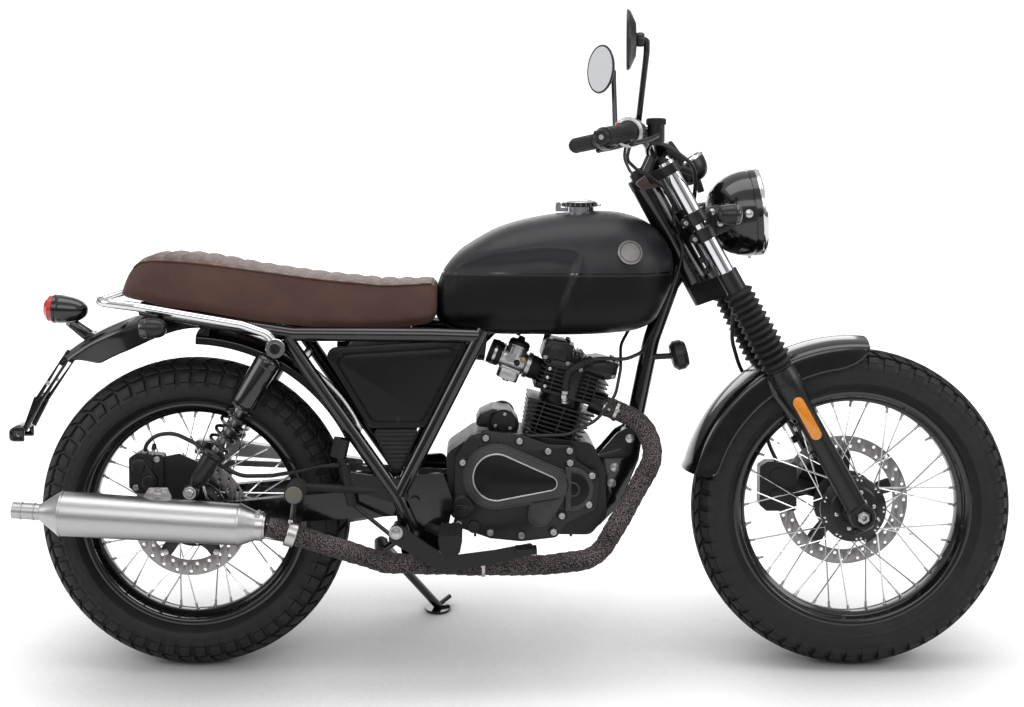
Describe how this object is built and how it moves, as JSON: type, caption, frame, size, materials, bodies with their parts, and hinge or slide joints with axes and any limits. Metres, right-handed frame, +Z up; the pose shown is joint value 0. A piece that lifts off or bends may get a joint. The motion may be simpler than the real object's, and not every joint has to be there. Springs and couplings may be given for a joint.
{
  "type": "cafe racer motorcycle",
  "caption": "Retro cafe racer motorcycle on its side stand, with spoked wheels, ribbed brown seat, wrapped exhaust and steering, wheels, stand and fuel cap that move.",
  "frame": {"origin": "on the floor under the middle of the parked motorcycle's bounding box", "axes": "+X forward along the motorcycle, +Y to the rider's left, +Z up; the motorcycle leans 10 degrees towards +Y on its side stand"},
  "size_m": [2.0019, 0.8197, 1.3248],
  "materials": {
    "tank_paint": "satin",
    "black_paint": "gloss",
    "engine_black": "satin black",
    "chrome": "polished",
    "bright_steel": "brushed",
    "bright_alloy": "brushed",
    "exhaust_wrap": "woven wrap",
    "tyre": "matte",
    "rubber": "matte",
    "black_plastic": "satin",
    "seat_leather": "satin",
    "lamp_glass": "clear",
    "red_lens": "gloss"
  },
  "bodies": {
    "frame": {"engine_cylinder": "engine_black", "engine_head": "engine_black", "engine_case": "engine_black", "engine_cover": "engine_black", "frame_front": "black_paint", "frame_rear": "black_paint", "swingarm": "black_paint", "shocks": "black_paint", "airbox": "black_plastic", "carburetor": "bright_alloy", "muffler": "bright_steel", "fuel_tank": "tank_paint", "filler_neck": "chrome", "seat": "seat_leather", "side_panels": "tank_paint", "rear_fender": "black_plastic", "tail_light": "black_plastic", "tail_lens": "red_lens", "plate_bracket": "black_plastic", "rear_indicators": "black_plastic", "grab_rail": "chrome", "chain": "bright_steel", "chain_guard": "bright_alloy", "foot_pegs": "rubber", "exhaust_header": "exhaust_wrap", "foot_levers": "black_paint", "rear_caliper": "engine_black", "horn": "black_plastic", "rear_master": "engine_black", "frame_cables": "rubber"},
    "steering": {"fork_tubes": "chrome", "fork_sliders": "black_paint", "fork_gaiters": "rubber", "triple_clamps": "engine_black", "handlebar": "black_paint", "grips": "rubber", "bar_controls": "engine_black", "mirrors": "black_plastic", "headlight_shell": "black_paint", "headlight_lens": "lamp_glass", "speedometer": "black_plastic", "front_fender": "black_plastic", "front_caliper": "engine_black", "front_indicators": "black_plastic", "bar_cables": "rubber"},
    "front_wheel": {"front_tyre": "tyre", "front_rim": "black_paint", "front_hub": "bright_alloy", "front_disc": "bright_steel"},
    "rear_wheel": {"rear_tyre": "tyre", "rear_rim": "black_paint", "rear_hub": "bright_alloy", "rear_disc": "bright_steel", "rear_sprocket": "bright_steel"},
    "side_stand": {"side_stand": "black_paint"},
    "fuel_cap": {"fuel_cap": "chrome"}
  },
  "joints": [
    {"name": "steering_turn", "type": "hinge", "parent": "frame", "child": "steering", "pos_m": [0.63735, -0.1219, 0.29203], "axis": [-0.4879, 0.1516, 0.8597], "range_deg": [-36, 36]},
    {"name": "front_wheel_spin", "type": "hinge", "parent": "steering", "child": "front_wheel", "pos_m": [0.681, -0.11766, 0.31605], "axis": [0, 0.9848, -0.1736], "continuous": true},
    {"name": "rear_wheel_spin", "type": "hinge", "parent": "frame", "child": "rear_wheel", "pos_m": [-0.639, -0.11922, 0.30719], "axis": [0, 0.9848, -0.1736], "continuous": true},
    {"name": "side_stand_fold", "type": "hinge", "parent": "frame", "child": "side_stand", "pos_m": [-0.273, -0.02183, 0.19152], "axis": [-0.0711, 0.9076, 0.4137], "range_deg": [0, 107.7]},
    {"name": "fuel_cap_hinge", "type": "hinge", "parent": "frame", "child": "fuel_cap", "pos_m": [0.09, -0.01191, 0.9158], "axis": [0, -0.9848, 0.1736], "range_deg": [0, 100]}
  ]
}
